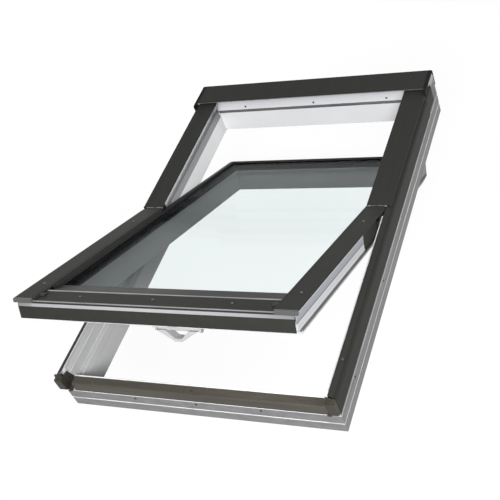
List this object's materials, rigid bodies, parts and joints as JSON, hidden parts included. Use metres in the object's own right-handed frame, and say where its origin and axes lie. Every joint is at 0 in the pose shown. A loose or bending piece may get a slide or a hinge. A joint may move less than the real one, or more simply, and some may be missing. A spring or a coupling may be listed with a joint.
{
  "type": "centre-pivot roof window",
  "caption": "Roof window with a light plastic frame, dark metal covers and a glazed sash that turns about a side pivot, with a latch worked by a bow handle.",
  "frame": {"origin": "middle of the frame's back face, where the window lies on the roof structure", "axes": "+X across the roof to the right as seen from outside, +Y up the slope to the hood, +Z out of the roof"},
  "size_m": [0.786, 1.1979, 0.5756],
  "materials": {
    "white_plastic": "satin",
    "dark_cover": "satin",
    "black_plastic": "matt",
    "light_aluminium": "satin",
    "steel": "satin",
    "seal": "matt",
    "glazing": "clear"
  },
  "bodies": {
    "frame": {"frame_jamb_left": "white_plastic", "frame_jamb_right": "white_plastic", "frame_head": "white_plastic", "frame_sill": "white_plastic", "jamb_gasket_left": "seal", "jamb_gasket_right": "seal", "head_gasket": "seal", "sill_gasket": "seal", "side_cladding_left": "dark_cover", "side_cladding_right": "dark_cover", "sill_cladding": "dark_cover", "corner_block_left": "black_plastic", "corner_block_right": "black_plastic", "head_trim": "light_aluminium", "head_hood": "dark_cover", "hood_end_cap_left": "black_plastic", "hood_end_cap_right": "black_plastic", "hood_end_plate_left": "light_aluminium", "hood_end_plate_right": "light_aluminium", "upper_cover_left": "dark_cover", "upper_cover_right": "dark_cover", "hinge_track_left": "black_plastic", "hinge_track_right": "black_plastic", "latch_keep": "steel", "frame_screws": "steel"},
    "sash": {"sash_stile_left": "white_plastic", "sash_stile_right": "white_plastic", "sash_top_rail": "white_plastic", "sash_bottom_rail": "white_plastic", "bottom_flange": "white_plastic", "latch_case": "white_plastic", "sash_cladding_left": "dark_cover", "sash_cladding_right": "dark_cover", "sash_cladding_top": "dark_cover", "sash_cladding_bottom": "dark_cover", "sash_cover_left": "dark_cover", "sash_cover_right": "dark_cover", "bottom_cover": "dark_cover", "hinge_skirt_left": "dark_cover", "hinge_skirt_right": "dark_cover", "cover_end_left": "dark_cover", "cover_end_right": "dark_cover", "glass_spacer": "black_plastic", "hinge_shoe_left": "black_plastic", "hinge_shoe_right": "black_plastic", "bottom_strip": "light_aluminium", "side_flange_left": "light_aluminium", "side_flange_right": "light_aluminium", "sash_screws": "steel", "glazing_gasket_inner": "seal", "glazing_gasket_outer": "seal", "flange_gasket": "seal", "glass_outer": "glazing", "glass_inner": "glazing"},
    "handle": {"handle": "white_plastic"},
    "latch": {"latch_bolt": "steel"}
  },
  "joints": [
    {"name": "sash_pivot", "type": "hinge", "parent": "frame", "child": "sash", "pos_m": [0, 0.02, 0.1445], "axis": [-1, 0, 0], "range_deg": [-24.6, 125.4]},
    {"name": "handle_turn", "type": "hinge", "parent": "sash", "child": "handle", "pos_m": [0, -0.50562, 0.25042], "axis": [1, 0, 0], "range_deg": [0, 35]},
    {"name": "latch_slide", "type": "slide", "parent": "sash", "child": "latch", "axis": [0, -0.9092, 0.4163], "range_m": [0, 0.01]}
  ],
  "couplings": [
    {"joint": "latch_slide", "follows": "handle_turn", "m_per_rad": 0.01637}
  ]
}
